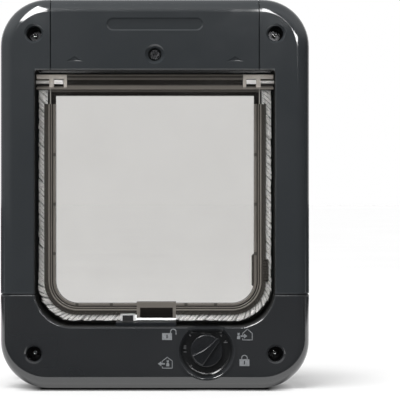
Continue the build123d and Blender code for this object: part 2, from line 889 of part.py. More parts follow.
with BuildPart() as strike_plate:
    with BuildSketch(facing(flap_plane - strike_depth / 2)):
        with Locations((strike_x, flap_bottom + strike_height / 2)):
            Rectangle(strike_width - slip, strike_height)
        with Locations((strike_x, flap_bottom + (strike_height - strike_band) / 2)):
            Rectangle(strike_width - slip - 2 * strike_band, strike_height - strike_band, mode=Mode.SUBTRACT)
        foot_left = strike_x + strike_width / 2 - strike_band
        with Locations(((foot_left + bump_right) / 2, flap_bottom + strike_band / 2)):
            Rectangle(bump_right - foot_left, strike_band)
    extrude(amount=strike_depth)

with BuildPart() as strike_block:
    with BuildSketch(facing(flap_plane - block_depth / 2)):
        with Locations((strike_x, flap_bottom + (strike_height - strike_band) / 2)):
            Rectangle(strike_width - 2 * slip - 2 * strike_band, strike_height - strike_band)
    extrude(amount=block_depth)


def dial_grip(plane):
    """Wedge-shaped grip of the dial, with a hollow upper side, a round tip and a sloping face."""
    height = front + grip_proud - dish_floor - dial_gap
    along = Vector(cos(radians(grip_angle)), sin(radians(grip_angle)))
    up_side = Vector(-along.Y, along.X)
    tail_high = along * -grip_tail + up_side * (grip_tail_width / 2)
    tail_low = along * -grip_tail - up_side * (grip_tail_width / 2)
    tip_high = along * grip_tip + up_side * grip_tip_radius
    tip_low = along * grip_tip - up_side * grip_tip_radius
    hollow = (tail_high + tip_high) / 2 - up_side * grip_hollow
    with BuildPart(mode=Mode.PRIVATE) as grip:
        with BuildSketch(plane):
            with BuildLine():
                ThreePointArc(tail_high, hollow, tip_high)
                ThreePointArc(tip_high, along * (grip_tip + grip_tip_radius), tip_low)
                Line(tip_low, tail_low)
                RadiusArc(tail_low, tail_high, dial_radius)
            make_face()
        extrude(amount=height)
        ridge = plane.from_local_coords(tail_high + Vector(0, 0, height))
        fall = up_side * -sin(radians(grip_fall)) + Vector(0, 0, cos(radians(grip_fall)))
        split(bisect_by=Plane(ridge, z_dir=plane.from_local_coords(fall) - plane.origin), keep=Keep.BOTTOM)
        fillet(grip.faces().sort_by(Axis.Y)[0].edges(), grip_round)
    crest = -grip.part.bounding_box().min.Y
    return grip.part.moved(Location((0, crest - front - grip_proud, 0)))


with BuildPart() as lock_dial:
    disc_back = dish_floor + dial_gap
    dial_plane = facing(disc_back).shift_origin((dial_x, -disc_back, dial_height))
    with BuildSketch(dial_plane):
        Circle(dial_radius)
    extrude(amount=dial_disc)
    fillet(lock_dial.faces().sort_by(Axis.Y)[0].edges(), dial_edge)
    add(dial_grip(dial_plane))
    with BuildSketch(dial_plane):
        Circle(spindle_radius)
    extrude(amount=-(dial_gap + wall + dial_gap + cam_thickness))
    with BuildSketch(facing(dish_floor - wall - dial_gap - cam_thickness)):
        with Locations((dial_x, dial_height)):
            Circle(dial_screw_radius + running)
    extrude(amount=dial_screw_length, mode=Mode.SUBTRACT)

with BuildPart() as dial_cam:
    with BuildSketch(facing(dish_floor - wall - dial_gap)):
        with Locations((dial_x, dial_height)):
            Circle(cam_radius)
            Circle(spindle_radius + running, mode=Mode.SUBTRACT)
            with PolarLocations(cam_radius, 4, start_angle=grip_angle):
                Circle(cam_notch_radius, mode=Mode.SUBTRACT)
    extrude(amount=-cam_thickness)

with BuildPart() as dial_screw:
    cam_back = dish_floor - wall - dial_gap - cam_thickness
    with BuildSketch(facing(cam_back)):
        with Locations((dial_x, dial_height)):
            Circle(dial_screw_radius)
    extrude(amount=dial_screw_length - slip)
    with BuildSketch(facing(cam_back)):
        with Locations((dial_x, dial_height)):
            Circle(dial_head_radius)
    extrude(amount=-dial_head_height)


def catch_part(catch_rear):
    """Flat bar that rises out of the sill, with a wider foot under its guide."""
    with BuildPart(mode=Mode.PRIVATE) as bar:
        add(
            block(
                (strike_x - catch_width / 2, strike_x + catch_width / 2),
                (plinth_top - catch_length, plinth_top),
                (catch_rear, catch_rear + catch_thickness),
            )
        )
        add(
            block(
                (strike_x - catch_foot_width / 2, strike_x + catch_foot_width / 2),
                (plinth_top - catch_length, plinth_top - catch_length + catch_foot_height),
                (catch_rear, catch_rear + catch_thickness),
            )
        )
    return bar.part


def catch_spring(catch_rear):
    """Coil round a catch, between its foot and the underside of the guide."""
    foot_top = plinth_top - catch_length + catch_foot_height
    coil_height = guide_bottom - foot_top - 2 * spring_wire
    runs = spring_turns * spring_bends
    bends = [
        (
            strike_x + spring_radius * cos(2 * pi * step / spring_bends),
            -catch_rear - catch_thickness / 2 + spring_radius * sin(2 * pi * step / spring_bends),
            foot_top + spring_wire + coil_height * step / runs,
        )
        for step in range(runs + 1)
    ]
    with BuildPart(mode=Mode.PRIVATE) as coil:
        with BuildLine():
            path = Polyline(*bends)
        with BuildSketch(Plane(origin=path @ 0, z_dir=path % 0)):
            Circle(spring_wire)
        sweep(transition=Transition.RIGHT)
    return coil.part


with BuildPart() as in_catch:
    add(catch_part(in_catch_rear))

with BuildPart() as out_catch:
    add(catch_part(out_catch_rear))

with BuildPart() as in_catch_spring:
    add(catch_spring(in_catch_rear))

with BuildPart() as out_catch_spring:
    add(catch_spring(out_catch_rear))

with BuildPart() as battery_tray:
    row_low = opening_top + cell_row_base
    tray_bottom = row_low - cell_radius - slip - tray_wall
    tray_top = row_low + cell_row_gap + cell_radius + slip + tray_wall
    bay_height = cell_row_gap + 2 * cell_radius + 2 * slip
    for side in (-1, 1):
        with BuildSketch(facing(joint_face)):
            with Locations((side * cell_offset_x, (tray_bottom + tray_top) / 2)):
                Rectangle(bay_length + 2 * tray_wall, bay_height + 2 * tray_wall)
        extrude(amount=tray_depth)
        with BuildSketch(facing(joint_face + tray_wall)):
            with Locations((side * cell_offset_x, (tray_bottom + tray_top) / 2)):
                Rectangle(bay_length, bay_height)
        extrude(amount=tray_depth, mode=Mode.SUBTRACT)
    bridge_low = row_low + cell_row_gap - cell_radius
    add(
        block(
            (-cell_offset_x + bay_length / 2, cell_offset_x - bay_length / 2),
            (bridge_low, tray_top),
            (joint_face, joint_face + tray_wall),
        )
    )

cell_axis = joint_face + tray_wall + slip + cell_radius
cell_places = [
    (side * cell_offset_x, row_low + row * cell_row_gap, 1 if row == 0 else -1)
    for side in (-1, 1)
    for row in (0, 1)
]
cells = []
for cell_x, cell_z, way in cell_places:
    with BuildPart() as cell:
        with BuildSketch(across(cell_x - way * cell_length / 2)):
            with Locations((-cell_axis, cell_z)):
                Circle(cell_radius)
        extrude(amount=way * cell_length)
        with BuildSketch(across(cell_x + way * cell_length / 2)):
            with Locations((-cell_axis, cell_z)):
                Circle(cell_nub_radius)
        extrude(amount=way * cell_nub_length)
    cells.append(cell)

with BuildPart() as battery_contacts:
    for side in (-1, 1):
        for end in (-1, 1):
            plate_x = side * cell_offset_x + end * (bay_length / 2)
            for row in (0, 1):
                plate_z = row_low + row * cell_row_gap
                add(
                    block(
                        sorted((plate_x, plate_x - end * contact_thickness)),
                        (plate_z - contact_width / 2, plate_z + contact_width / 2),
                        (joint_face + tray_wall, joint_face + tray_depth),
                    )
                )

with BuildPart() as control_board:
    with BuildSketch(facing(joint_face + board_stand)):
        with Locations((board_x, board_bottom + board_height / 2)):
            Rectangle(board_width, board_height)
    extrude(amount=board_thickness)

pieces = {
    "inner_frame": inner_frame,
    "top_cover": top_cover,
    "top_cover_screw": top_cover_screw,
    "bottom_cover": bottom_cover,
    "tunnel_liner": tunnel_liner,
    "outer_frame": outer_frame,
    "fixing_screws": fixing_screws,
    "catch_guide": catch_guide,
    "sill_magnet": sill_magnet,
    "flap_panel": flap_panel,
    "flap_bezel": flap_bezel,
    "hinge_rail": hinge_rail,
    "hinge_bracket_left": hinge_bracket_left,
    "hinge_bracket_right": hinge_bracket_right,
    "hinge_pin_left": hinge_pin_left,
    "hinge_pin_right": hinge_pin_right,
    "brush_left": brush_left,
    "brush_right": brush_right,
    "closer_magnet": closer_magnet,
    "strike_plate": strike_plate,
    "strike_block": strike_block,
    "lock_dial": lock_dial,
    "dial_cam": dial_cam,
    "dial_screw": dial_screw,
    "in_catch": in_catch,
    "out_catch": out_catch,
    "in_catch_spring": in_catch_spring,
    "out_catch_spring": out_catch_spring,
    "battery_tray": battery_tray,
    "battery_contacts": battery_contacts,
    "control_board": control_board,
}
for number, cell in enumerate(cells, start=1):
    pieces[f"battery_cell_{number}"] = cell

for name, piece in pieces.items():
    piece.part.label = name
    export_step(piece.part, f"parts/{name}.step")
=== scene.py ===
"""Looks of the cat flap: materials, the brush pile, the printed signs, and a plain studio."""

import json
import math

import bpy
import numpy as np
from mathutils import Matrix, Vector


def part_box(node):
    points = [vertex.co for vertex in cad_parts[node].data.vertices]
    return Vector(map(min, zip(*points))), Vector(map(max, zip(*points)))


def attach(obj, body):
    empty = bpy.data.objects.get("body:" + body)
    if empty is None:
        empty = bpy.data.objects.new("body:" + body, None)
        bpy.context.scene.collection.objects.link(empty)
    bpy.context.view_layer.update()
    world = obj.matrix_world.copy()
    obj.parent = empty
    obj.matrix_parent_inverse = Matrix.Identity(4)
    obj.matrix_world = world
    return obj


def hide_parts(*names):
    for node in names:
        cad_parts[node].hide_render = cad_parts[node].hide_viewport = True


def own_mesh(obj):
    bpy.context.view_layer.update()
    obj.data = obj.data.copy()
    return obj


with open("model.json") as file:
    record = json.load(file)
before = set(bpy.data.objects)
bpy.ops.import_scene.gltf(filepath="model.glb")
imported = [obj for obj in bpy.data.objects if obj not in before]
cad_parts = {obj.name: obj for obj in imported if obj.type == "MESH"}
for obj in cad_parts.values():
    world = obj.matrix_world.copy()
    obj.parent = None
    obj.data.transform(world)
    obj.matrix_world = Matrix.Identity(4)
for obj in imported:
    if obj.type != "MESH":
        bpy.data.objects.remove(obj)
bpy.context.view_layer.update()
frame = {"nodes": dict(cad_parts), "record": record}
scene = bpy.context.scene
MM = 0.001

# Camera: level with the middle of the flap, looking straight at the front
IMAGE_HEIGHT = 405  # the picture's longer side, in pixels
FOCAL_PIXELS = 1777
SHIFT_PIXELS = (30, -2.5)
CAMERA_PLACE = (0.0102, -1.2295, 0.1268)
CLIP_END = 50
camera_data = bpy.data.cameras.new("camera")
camera_data.lens = FOCAL_PIXELS / IMAGE_HEIGHT * camera_data.sensor_width
camera_data.shift_x = SHIFT_PIXELS[0] / IMAGE_HEIGHT
camera_data.shift_y = SHIFT_PIXELS[1] / IMAGE_HEIGHT
camera_data.clip_end = CLIP_END
camera = bpy.data.objects.new("camera", camera_data)
camera.location = CAMERA_PLACE
camera.rotation_euler = (math.radians(90), 0, 0)
scene.collection.objects.link(camera)
scene.camera = camera


class Nodes:
    """Short calls for the nodes of one tree."""

    def __init__(self, tree):
        self.tree = tree

    def node(self, kind, **settings):
        made = self.tree.nodes.new(kind)
        for key, value in settings.items():
            setattr(made, key, value)
        return made

    def link(self, start, end):
        self.tree.links.new(start, end)

    def axes(self, place):
        made = self.node("ShaderNodeSeparateXYZ")
        self.link(place, made.inputs[0])
        return made.outputs

    def math(self, operation, *values):
        made = self.node("ShaderNodeMath", operation=operation)
        for socket, value in zip(made.inputs, values):
            if isinstance(value, bpy.types.NodeSocket):
                self.link(value, socket)
            else:
                socket.default_value = value
        return made.outputs[0]

    def both(self, first, second):
        """Product: a share that holds where two shares do."""
        return self.math("MULTIPLY", first, second)

    def off(self, value, middle):
        """How far a value is from a middle one."""
        return self.math("ABSOLUTE", self.math("SUBTRACT", value, middle))

    def ranged(self, value, low, high, start=0.3, end=0.7, **settings):
        """From low to high while a value runs from start to end, which by default suit a noise."""
        made = self.node("ShaderNodeMapRange", **settings)
        made.inputs["From Min"].default_value = start
        made.inputs["From Max"].default_value = end
        made.inputs["To Min"].default_value = low
        made.inputs["To Max"].default_value = high
        self.link(value, made.inputs["Value"])
        return made.outputs["Result"]

    def rising(self, value, start, end):
        return self.ranged(value, 0, 1, start, end)

    def falling(self, value, start, end):
        return self.ranged(value, 1, 0, start, end)

    def blend(self, share, outside, inside):
        """From one number to another as a share goes from 0 to 1."""
        return self.ranged(share, outside, inside, 0, 1)


class Shader(Nodes):
    """A node material: one principled surface, in the object's own coordinates."""

    ZONE_EDGE = 0.3 * MM
    BROWN = (1.0, 0.92, 0.82)

    def __init__(self, name):
        self.material = bpy.data.materials.new(name)
        self.material.use_nodes = True
        super().__init__(self.material.node_tree)
        self.surface = self.tree.nodes["Principled BSDF"]
        self.place = self.node("ShaderNodeTexCoord").outputs["Object"]

    def set(self, **values):
        for key, value in values.items():
            self.surface.inputs[key.replace("_", " ")].default_value = value

    def feed(self, name, source):
        self.link(source, self.surface.inputs[name])

    def stretched(self, scale):
        mapping = self.node("ShaderNodeMapping")
        mapping.inputs["Scale"].default_value = scale
        self.link(self.place, mapping.inputs["Vector"])
        return mapping.outputs["Vector"]

    def noise(self, scale, detail=3.0, place=None):
        made = self.node("ShaderNodeTexNoise")
        made.inputs["Scale"].default_value = scale
        made.inputs["Detail"].default_value = detail
        self.link(place or self.place, made.inputs["Vector"])
        return made.outputs["Fac"]

    def within(self, axes, limits):
        """1 inside a box given by its limits along X, Y and Z, and 0 outside."""
        share = None
        for axis, (low, high) in zip("XYZ", limits):
            half = (high - low) / 2
            part = self.falling(self.off(axes[axis], (low + high) / 2), half, half + self.ZONE_EDGE)
            share = self.both(share, part) if share else part
        return share

    def zones(self, value, stops):
        """Brown grey that follows a value from 0 to 1 through a row of (position, level) stops."""
        made = self.node("ShaderNodeValToRGB")
        elements = made.color_ramp.elements
        elements.remove(elements[1])
        for index, (position, level) in enumerate(stops):
            element = elements[0] if index == 0 else elements.new(position)
            element.position = position
            element.color = (*(level * share for share in self.BROWN), 1)
        self.link(value, made.inputs[0])
        return made.outputs[0]

    def mixed(self, factor, first, second):
        made = self.node("ShaderNodeMix", data_type="RGBA")
        for socket, colour in ((made.inputs[6], first), (made.inputs[7], second)):
            if isinstance(colour, bpy.types.NodeSocket):
                self.link(colour, socket)
            else:
                socket.default_value = (*colour, 1)
        self.link(factor, made.inputs[0])
        return made.outputs[2]

    def drifting(self, first, second, scale, detail=3.0, place=None):
        """Colour that drifts between two colours."""
        return self.mixed(self.ranged(self.noise(scale, detail, place), 0, 1), first, second)

    def colour(self, first, second, scale, detail=3.0, place=None):
        self.feed("Base Color", self.drifting(first, second, scale, detail, place))

    def roughness(self, low, high, scale, place=None):
        self.feed("Roughness", self.ranged(self.noise(scale, 4.0, place), low, high))

    def bump(self, height, strength, depth):
        made = self.node("ShaderNodeBump")
        made.inputs["Strength"].default_value = strength
        made.inputs["Distance"].default_value = depth
        self.link(height, made.inputs["Height"])
        self.feed("Normal", made.outputs["Normal"])


# Gloss plastic: scales of its colour's drift, its patchy polish and its skin
GLOSS_DRIFT = 14
GLOSS_POLISH = 90
GLOSS_SKIN = 420
GLOSS_GRAIN = 0.06
SKIN_DEPTH = 0.04 * MM
GLOSS_IOR = 1.52
CLEAR_IOR = 1.49


def gloss_plastic(name, dark, light, roughness, specular, grain=GLOSS_GRAIN):
    """Moulded gloss plastic: slow drift of colour, patchy polish and a faint skin."""
    shader = Shader(name)
    shader.colour(dark, light, GLOSS_DRIFT)
    shader.roughness(*roughness, GLOSS_POLISH)
    shader.bump(shader.noise(GLOSS_SKIN, detail=2.0), strength=grain, depth=SKIN_DEPTH)
    shader.set(IOR=GLOSS_IOR, Specular_IOR_Level=specular)
    return shader.material


# Zones of the slate covers: limits along X, Y and Z, or where an edge starts and ends
# painted shade: the passage walls are darker than the slate
PASSAGE_SHADE_ZONE = ((-0.0812, 0.0812), (-0.0373, 0.03), (0.0405, 0.214))
PASSAGE_SHADE_COLOUR = (0.024, 0.024, 0.0235)
# painted highlight: a pale line along the top lip of the opening
LIP_HIGHLIGHT_ZONE = ((-0.0803, 0.0803), (-0.04, -0.0315), (0.213, 0.2148))
LIP_HIGHLIGHT_COLOUR = (0.11, 0.115, 0.118)
DIAL = (34.7, 25.6)  # X and Z of the dial's axis, in millimetres
DISH_RIM = (0.0175, 0.019)
DISH_FRONT = (-0.0378, -0.0365)
# painted shade: the dish is darker than the slate round it
DISH_SHADE_COLOUR = (0.011, 0.0115, 0.012)
COVER_BACK = (-0.021, -0.02)
SEAM_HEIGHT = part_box("bottom_cover")[1].z
SEAM_EDGE = (0.0012, 0.0016)
SLATE_SHINE = 0.8
SLATE_POLISH = (0.05, 0.1)


def slate(name, dark, light):
    """Gloss slate plastic: dull at the lower seam, with painted shade in the passage and the dish and a
    painted highlight along the lip.
    """
    shader = Shader(name)
    axes = shader.axes(shader.place)
    passage_shade = shader.within(axes, PASSAGE_SHADE_ZONE)
    lip = shader.within(axes, LIP_HIGHLIGHT_ZONE)
    front = shader.falling(axes["Y"], *COVER_BACK)
    sideways = shader.math("POWER", shader.math("SUBTRACT", axes["X"], DIAL[0] * MM), 2.0)
    upwards = shader.math("POWER", shader.math("SUBTRACT", axes["Z"], DIAL[1] * MM), 2.0)
    off_dial = shader.math("SQRT", shader.math("ADD", sideways, upwards))
    sunk = shader.both(shader.falling(off_dial, *DISH_RIM), shader.rising(axes["Y"], *DISH_FRONT))
    dish = shader.both(sunk, front)
    seam = shader.both(shader.falling(shader.off(axes["Z"], SEAM_HEIGHT), *SEAM_EDGE), front)
    # painted highlight along the lip
    skin = shader.mixed(lip, shader.drifting(dark, light, GLOSS_DRIFT), LIP_HIGHLIGHT_COLOUR)
    # painted shade on the passage walls
    walls = shader.mixed(passage_shade, skin, PASSAGE_SHADE_COLOUR)
    # painted shade in the dish
    shader.feed("Base Color", shader.mixed(dish, walls, DISH_SHADE_COLOUR))
    matt, shine = 0.0, SLATE_SHINE
    for zone, rougher, shine_left in ((seam, 0.25, 0.4), (passage_shade, 0.4, 0.0), (dish, 0.1, 0.5)):
        matt = shader.math("MAXIMUM", matt, shader.blend(zone, 0, rougher))
        shine = shader.math("MINIMUM", shine, shader.blend(zone, SLATE_SHINE, shine_left))
    polish = shader.ranged(shader.noise(GLOSS_POLISH, detail=4.0), *SLATE_POLISH)
    shader.feed("Roughness", shader.math("ADD", polish, matt))
    shader.feed("Specular IOR Level", shine)
    shader.bump(shader.noise(GLOSS_SKIN, detail=2.0), strength=GLOSS_GRAIN, depth=SKIN_DEPTH)
    shader.set(IOR=GLOSS_IOR)
    return shader.material


def fine_matte(name, dark, light, roughness, grain):
    """Moulded matt plastic with a fine spark-eroded texture."""
    shader = Shader(name)
    shader.colour(dark, light, scale=40)
    shader.roughness(*roughness, scale=200)
    shader.bump(shader.noise(scale=2600, detail=4.0), strength=grain, depth=0.06 * MM)
    shader.set(IOR=1.5)
    return shader.material


def smoked_window():
    """Clear tinted plastic, very slightly uneven."""
    shader = Shader("smoked_window")
    shader.colour((0.62, 0.61, 0.595), (0.64, 0.63, 0.615), scale=30)
    shader.roughness(low=0.0, high=0.03, scale=60)
    shader.bump(shader.noise(scale=35, detail=2.0), strength=0.05, depth=0.1 * MM)
    shader.set(IOR=CLEAR_IOR, Transmission_Weight=1.0)
    return shader.material


# Painted light and shade on the hinge rail, from its foot (0) to its top (1): how pale the plastic is
# painted there, paler for light through its thin parts and along highlight lines, darker where shade falls
RAIL_HEIGHTS = (0.1975, 0.2125)
RAIL_LIGHT_AND_SHADE = (
    (0.15, 0.003),
    (0.18, 0.08),
    (0.26, 0.11),
    (0.29, 0.25),
    (0.44, 0.25),
    (0.48, 0.03),
    (0.53, 0.014),
    (0.69, 0.014),
    (0.72, 0.15),
    (0.8, 0.15),
    (0.82, 0.025),
    (0.85, 0.025),
    (0.88, 0.13),
    (0.91, 0.28),
    (0.96, 0.13),
)
# painted highlight: a pale line down the outer edge of each leg
LEG_X = 0.0708
LEG_HIGHLIGHT_EDGE = (0.0003, 0.0005)
LEG_TOP = (0.2020, 0.2026)


def smoked_rail():
    """Deep tinted plastic, with painted light and shade in bands up the rail, paler where the moulding is
    thin, and a painted highlight in a line down its legs.
    """
    shader = Shader("smoked_rail")
    axes = shader.axes(shader.place)
    aside = shader.off(shader.math("ABSOLUTE", axes["X"]), LEG_X)
    leg_highlight = shader.both(shader.falling(aside, *LEG_HIGHLIGHT_EDGE), shader.falling(axes["Z"], *LEG_TOP))
    # painted light and shade in bands up the rail
    painted_bands = shader.zones(shader.rising(axes["Z"], *RAIL_HEIGHTS), RAIL_LIGHT_AND_SHADE)
    lines = shader.stretched((0.1, 1, 4))
    streaks = shader.ranged(shader.noise(scale=20, place=lines), 0.0, 0.25)
    tint = shader.mixed(streaks, painted_bands, (0.03, 0.026, 0.021))
    # painted highlight down the legs
    shader.feed("Base Color", shader.mixed(leg_highlight, tint, (0.3, 0.29, 0.27)))
    shader.roughness(low=0.08, high=0.16, scale=60)
    shader.set(IOR=CLEAR_IOR, Specular_IOR_Level=0.6)
    return shader.material


# Zones of the rim: painted light along its ridges, by distance from the flap's plane; the magnet's pocket;
# and painted shade on the bar at its foot
FLAP_PLANE = -0.0225
RIM_LEVELS = (0.0024, 0.0040)
RIM_RIDGE_LIGHT = ((0.25, 0.018), (0.4, 0.08), (0.55, 0.09), (0.75, 0.155), (0.95, 0.28))
POCKET_MIDDLE = (0.001, 0.0504)
POCKET_WIDTH_EDGE = (0.0109, 0.0113)
POCKET_HEIGHT_EDGE = (0.0033, 0.0037)
# painted shade: the bar at the pocket's foot is dark and not clear
BAR_SHADE_ZONE = ((-0.0126, 0.0146), (-0.05, -0.0225), (0.043, 0.0464))
RIM_CLEAR = 0.4


def smoked_rim():
    """Tinted plastic with painted light along its ridges, dark at the magnet's pocket, and painted shade
    on the bar at its foot.
    """
    shader = Shader("smoked_rim")
    axes = shader.axes(shader.place)
    level = shader.rising(shader.off(axes["Y"], FLAP_PLANE), *RIM_LEVELS)
    wide = shader.falling(shader.off(axes["X"], POCKET_MIDDLE[0]), *POCKET_WIDTH_EDGE)
    tall = shader.falling(shader.off(axes["Z"], POCKET_MIDDLE[1]), *POCKET_HEIGHT_EDGE)
    # painted light on the ridges; dark at the magnet's pocket
    tint = shader.mixed(shader.both(wide, tall), shader.zones(level, RIM_RIDGE_LIGHT), (0.008, 0.007, 0.006))
    lines = shader.stretched((0.3, 1, 1))
    streaks = shader.ranged(shader.noise(scale=30, place=lines), 0.0, 0.3)
    plastic = shader.mixed(streaks, tint, (0.09, 0.082, 0.073))
    # painted shade on the bar
    bar_shade = shader.within(axes, BAR_SHADE_ZONE)
    shader.feed("Base Color", shader.mixed(bar_shade, plastic, (0.02, 0.02, 0.021)))
    shader.feed("Transmission Weight", shader.blend(bar_shade, RIM_CLEAR, 0))
    shader.roughness(low=0.04, high=0.11, scale=60)
    shader.bump(shader.noise(scale=40, detail=2.0), strength=0.05, depth=0.1 * MM)
    shader.set(IOR=CLEAR_IOR)
    return shader.material


EVEN = (1, 1, 1)


def metal(name, dark, light, roughness, along=EVEN, share=1.0):
    """Plated metal with fine drawn lines along one way."""
    shader = Shader(name)
    lines = shader.stretched(along)
    shader.colour(dark, light, scale=60, place=lines)
    shader.roughness(*roughness, scale=300, place=lines)
    shader.bump(shader.noise(scale=500, detail=2.0, place=lines), strength=0.08, depth=SKIN_DEPTH)
    shader.set(Metallic=share)
    return shader.material


def fibre(name, dark, light):
    """Synthetic pile: hairs that differ a little from one another along their length."""
    shader = Shader(name)
    shader.colour(dark, light, scale=1500, detail=2.0)
    shader.roughness(low=0.22, high=0.36, scale=900)
    shader.set(IOR=1.8, Specular_IOR_Level=1.0, Sheen_Weight=1.0, Sheen_Roughness=0.5)
    return shader.material


def cell_wrap():
    """Printed sleeve of a dry cell: black with copper-coloured bands."""
    shader = Shader("cell_wrap")
    wave = shader.node("ShaderNodeTexWave", wave_type="BANDS", bands_direction="X")
    wave.inputs["Scale"].default_value = 9
    shader.link(shader.place, wave.inputs["Vector"])
    band = shader.rising(wave.outputs["Fac"], 0.72, 0.74)
    sleeve = shader.drifting((0.02, 0.02, 0.022), (0.035, 0.035, 0.038), scale=30)
    shader.feed("Base Color", shader.mixed(band, sleeve, (0.42, 0.24, 0.11)))
    shader.roughness(low=0.24, high=0.4, scale=150)
    shader.set(Specular_IOR_Level=0.6)
    return shader.material


def circuit_board():
    """Green lacquer with fine copper tracks under it."""
    shader = Shader("circuit_board")
    bricks = shader.node("ShaderNodeTexBrick")
    bricks.inputs["Scale"].default_value = 420
    bricks.inputs["Mortar Size"].default_value = 0.05
    bricks.inputs["Color1"].default_value = (0.012, 0.11, 0.045, 1)
    bricks.inputs["Color2"].default_value = (0.016, 0.13, 0.055, 1)
    bricks.inputs["Mortar"].default_value = (0.06, 0.24, 0.11, 1)
    turned = shader.node("ShaderNodeMapping")
    turned.inputs["Rotation"].default_value = (math.radians(90), 0, 0)
    shader.link(shader.place, turned.inputs["Vector"])
    shader.link(turned.outputs["Vector"], bricks.inputs["Vector"])
    shader.feed("Base Color", bricks.outputs["Color"])
    shader.roughness(low=0.28, high=0.42, scale=200)
    return shader.material


looks = {
    "slate_plastic": slate("slate_plastic", (0.0275, 0.031, 0.034), (0.0335, 0.037, 0.04)),
    "sill_plastic": gloss_plastic(
        "sill_plastic", (0.007, 0.0083, 0.0105), (0.01, 0.0118, 0.015), roughness=(0.3, 0.42), specular=0.2
    ),
    "smoked_window": smoked_window(),
    "smoked_rim": smoked_rim(),
    "smoked_rail": smoked_rail(),
    "pale_plastic": gloss_plastic(
        "pale_plastic", (0.48, 0.43, 0.38), (0.6, 0.55, 0.49), roughness=(0.2, 0.34), specular=0.5
    ),
    "bright_steel": metal(
        "bright_steel", (0.62, 0.62, 0.62), (0.82, 0.81, 0.79), roughness=(0.14, 0.3), along=(0.15, 1, 1)
    ),
    "dark_steel": metal("dark_steel", (0.03, 0.03, 0.032), (0.06, 0.06, 0.062), roughness=(0.2, 0.34)),
    "black_gloss": gloss_plastic(
        "black_gloss", (0.009, 0.01, 0.0115), (0.014, 0.015, 0.017), roughness=(0.16, 0.26), specular=0.5
    ),
    "black_matte": fine_matte(
        "black_matte", (0.012, 0.012, 0.013), (0.024, 0.023, 0.022), roughness=(0.45, 0.6), grain=0.3
    ),
    "brush_fibre": fibre("brush_fibre", (0.9, 0.885, 0.855), (0.96, 0.945, 0.92)),
    "magnet": metal("magnet", (0.05, 0.05, 0.052), (0.09, 0.09, 0.092), roughness=(0.5, 0.66)),
    "cell_wrap": cell_wrap(),
    "circuit_board": circuit_board(),
}
for entry in frame["record"]["subparts"]:
    node = frame["nodes"][entry["node"]]
    for slot in node.material_slots:
        slot.material = looks[entry["material_slot"]]

# Finishes that differ from those of their material slots
strike_look = metal(
    "satin_steel",
    (0.92, 0.92, 0.92),
    (0.98, 0.98, 0.97),
    roughness=(0.34, 0.48),
    along=(0.1, 1, 1),
    share=0.3,
)
socket_look = metal("socket_steel", (0.9, 0.9, 0.9), (0.97, 0.97, 0.97), roughness=(0.12, 0.2), share=0.8)
pin_look = gloss_plastic(
    "pin_steel", (0.84, 0.82, 0.79), (0.9, 0.88, 0.85), roughness=(0.26, 0.34), specular=0.8, grain=0.02
)
own_looks = {
    # painted shade: the lower cover takes a darker copy of the slate
    "bottom_cover": slate("lower_slate_shaded", (0.0215, 0.023, 0.025), (0.0265, 0.028, 0.03)),
    "strike_plate": strike_look,
    "strike_block": gloss_plastic(
        "block_plastic", (0.012, 0.012, 0.013), (0.024, 0.023, 0.022), roughness=(0.45, 0.6), specular=0.2
    ),
    "hinge_pin_left": pin_look,
    "hinge_pin_right": pin_look,
}
for name, look in own_looks.items():
    frame["nodes"][name].material_slots[0].material = look


def piece(name, vertices, faces, slot, body, material=None):
    """New object from a mesh, on a body, with the finish of a material slot or one of its own."""
    mesh = bpy.data.meshes.new(name)
    mesh.from_pydata([tuple(v) for v in vertices], [], [tuple(f) for f in faces])
    mesh.update()
    made = bpy.data.objects.new(name, mesh)
    scene.collection.objects.link(made)
    mesh.materials.append(material or looks[slot])
    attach(made, body)
    return made


# Brush pile round the flap: leaning tufts of fibres on a narrow carrier
TIP_CORNER = 27.0 * MM
PILE_LENGTH = 6.5 * MM
PILE_TOP_GAP = 0.2 * MM
CARRIER_HEIGHT = 1.3 * MM
CARRIER_HALF = 1.5 * MM
# tufts
TUFT_PITCH = 3.0 * MM
TUFT_ROWS = (-0.5, 0.5)  # in half depths of the strip
TUFT_SHIFT = 0.1  # spread of the tufts' places, in pitches
TUFT_TALL = (0.9, 1.0)
TUFT_PALE = (0.2, 1.0)  # share of pale fibres
TUFT_FIBRES = 60
LEAN = 0.8  # tips lie back along the strip by this share of the pile's length
LEAN_SPREAD = 0.07
# fibres: places in the tuft and spreads of their tips in millimetres
FIBRE_ALONG = 0.6
FIBRE_ACROSS = 0.3
FIBRE_TALL = (0.92, 1.0)
FIBRE_LEAN_SPREAD = 0.05
FIBRE_FAN = 0.35
FIBRE_SPLAY = 0.4
FIBRE_SPLAY_SPREAD = 0.2
FIBRE_BEND = (0.5, 0.42, 0.4)  # shares of height, lean and splay at the bend
FIBRE_RADIUS = (0.1, 0.18)
FIBRE_SIDES = 3
FIBRE_TAPER = (1.0, 1.0, 0.5)
# dark fibres at the tufts' edges, painted shade between the tufts, and dark strays among the others at
# random
TUFT_EDGE = 1.05
LOWER_TUFT_EDGE = 0.95
STRAY_CHANCE = 0.96
PLAIN, PALE, DARK = 0, 1, 2
# tufts that point down: their tips come forward, at the lowest ones to the rim's front
LOWER_WAY = -0.3
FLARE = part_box("brush_left")[0].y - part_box("flap_bezel")[0].y
rng = np.random.default_rng(7)
pale_fibre = fibre("pale_fibre", (0.97, 0.955, 0.93), (0.99, 0.98, 0.96))
dark_fibre = fibre("dark_fibre", (0.16, 0.157, 0.15), (0.3, 0.295, 0.285))


